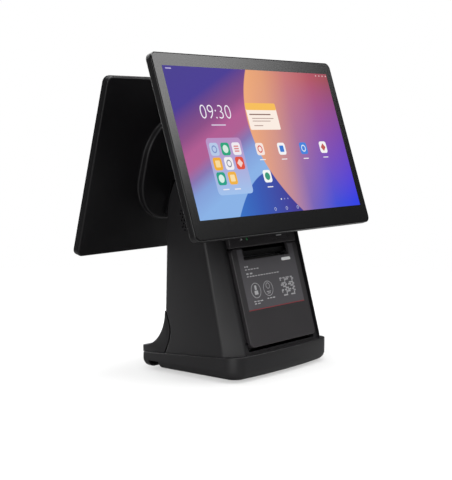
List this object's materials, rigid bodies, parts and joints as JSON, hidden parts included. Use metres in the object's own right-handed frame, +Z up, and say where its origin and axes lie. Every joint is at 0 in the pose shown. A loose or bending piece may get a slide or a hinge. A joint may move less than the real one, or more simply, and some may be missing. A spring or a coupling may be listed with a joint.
{
  "type": "pos touchscreen terminal",
  "caption": "Counter-top sales terminal: two tilting touch displays back to back on a sloping column with a receipt printer behind a drop-down cover.",
  "frame": {"origin": "on the counter, under the middle of the whole object's box", "axes": "+X to the cashier's right, +Y from the cashier to the customer, +Z up"},
  "size_m": [0.374, 0.2138, 0.4102],
  "materials": {
    "housing": "fine matt moulded texture, charcoal black",
    "cover": "satin charcoal grey",
    "black": "matt black",
    "glass": "polished cover glass, black border",
    "panel": "display module",
    "steel": "zinc plated sheet and bright bar",
    "rubber": "matt black rubber",
    "paper": "white thermal paper",
    "card": "brown card tube",
    "board": "green circuit board",
    "gear": "natural acetal",
    "aluminium": "extruded aluminium",
    "lens": "clear green light guide"
  },
  "bodies": {
    "stand": {"plinth": "housing", "base_plate": "steel", "foot_1": "rubber", "foot_2": "rubber", "foot_3": "rubber", "foot_4": "rubber", "column_shell": "housing", "rear_cover": "housing", "front_cap": "cover", "status_lamp": "lens", "cover_pin": "steel", "chassis": "steel", "front_arm": "black", "rear_arm": "black", "paper_bucket": "black", "printer_frame": "steel", "print_head": "aluminium", "head_holder": "black", "head_spring_left": "steel", "head_spring_right": "steel", "cutter_frame": "black", "feed_motor": "steel", "main_board": "board", "heat_sink": "aluminium", "network_port": "steel", "usb_port": "steel", "power_jack": "black", "speaker_left": "black", "speaker_right": "black"},
    "front_display": {"front_glass": "glass", "front_panel": "panel", "front_back_shell": "housing", "front_driver_board": "board", "front_hinge_leaf": "steel", "front_hinge_pin": "steel"},
    "rear_display": {"rear_glass": "glass", "rear_panel": "panel", "rear_back_shell": "housing", "rear_driver_board": "board", "rear_hinge_leaf": "steel", "rear_hinge_pin": "steel"},
    "cover": {"printer_cover": "cover", "cover_arm_left": "steel", "cover_arm_right": "steel"},
    "platen": {"platen_roller": "rubber", "platen_shaft": "steel", "platen_gear": "gear"},
    "idler": {"idler_gear": "gear"},
    "pinion": {"motor_gear": "gear"},
    "paper": {"paper_roll": "paper", "paper_core": "card"},
    "blade": {"cutter_blade": "steel"},
    "release_key": {"release_button": "black"},
    "feed_key": {"feed_button": "black"},
    "power_key": {"power_button": "black"}
  },
  "joints": [
    {"name": "front_tilt", "type": "hinge", "parent": "stand", "child": "front_display", "pos_m": [0, -0.05567, 0.25029], "axis": [1, 0, 0], "range_deg": [-10, 16]},
    {"name": "rear_tilt", "type": "hinge", "parent": "stand", "child": "rear_display", "pos_m": [0, 0.05957, 0.22326], "axis": [-1, 0, 0], "range_deg": [-6, 12]},
    {"name": "cover_hinge", "type": "hinge", "parent": "stand", "child": "cover", "pos_m": [0, -0.0878, 0.04586], "axis": [1, 0, 0], "range_deg": [0, 75]},
    {"name": "platen_spin", "type": "hinge", "parent": "cover", "child": "platen", "pos_m": [0, -0.05438, 0.145], "axis": [1, 0, 0], "continuous": true},
    {"name": "idler_spin", "type": "hinge", "parent": "stand", "child": "idler", "pos_m": [0, -0.03004, 0.13928], "axis": [1, 0, 0], "continuous": true},
    {"name": "motor_spin", "type": "hinge", "parent": "stand", "child": "pinion", "pos_m": [0, -0.01088, 0.152], "axis": [1, 0, 0], "continuous": true},
    {"name": "roll_spin", "type": "hinge", "parent": "stand", "child": "paper", "pos_m": [0, -0.03738, 0.0858], "axis": [1, 0, 0], "continuous": true},
    {"name": "blade_slide", "type": "slide", "parent": "stand", "child": "blade", "axis": [0, -1, 0], "range_m": [0, 0.004]},
    {"name": "release_press", "type": "slide", "parent": "stand", "child": "release_key", "axis": [0, 0.9622, -0.2723], "range_m": [0, 0.002], "stiffness_N_per_m": 300},
    {"name": "feed_press", "type": "slide", "parent": "stand", "child": "feed_key", "axis": [0, 0.9622, -0.2723], "range_m": [0, 0.002], "stiffness_N_per_m": 200},
    {"name": "power_press", "type": "slide", "parent": "stand", "child": "power_key", "axis": [-1, 0, 0], "range_m": [0, 0.001], "stiffness_N_per_m": 200}
  ],
  "couplings": [
    {"joint": "idler_spin", "follows": "platen_spin", "ratio": -0.47059},
    {"joint": "motor_spin", "follows": "platen_spin", "ratio": 1.3333}
  ]
}
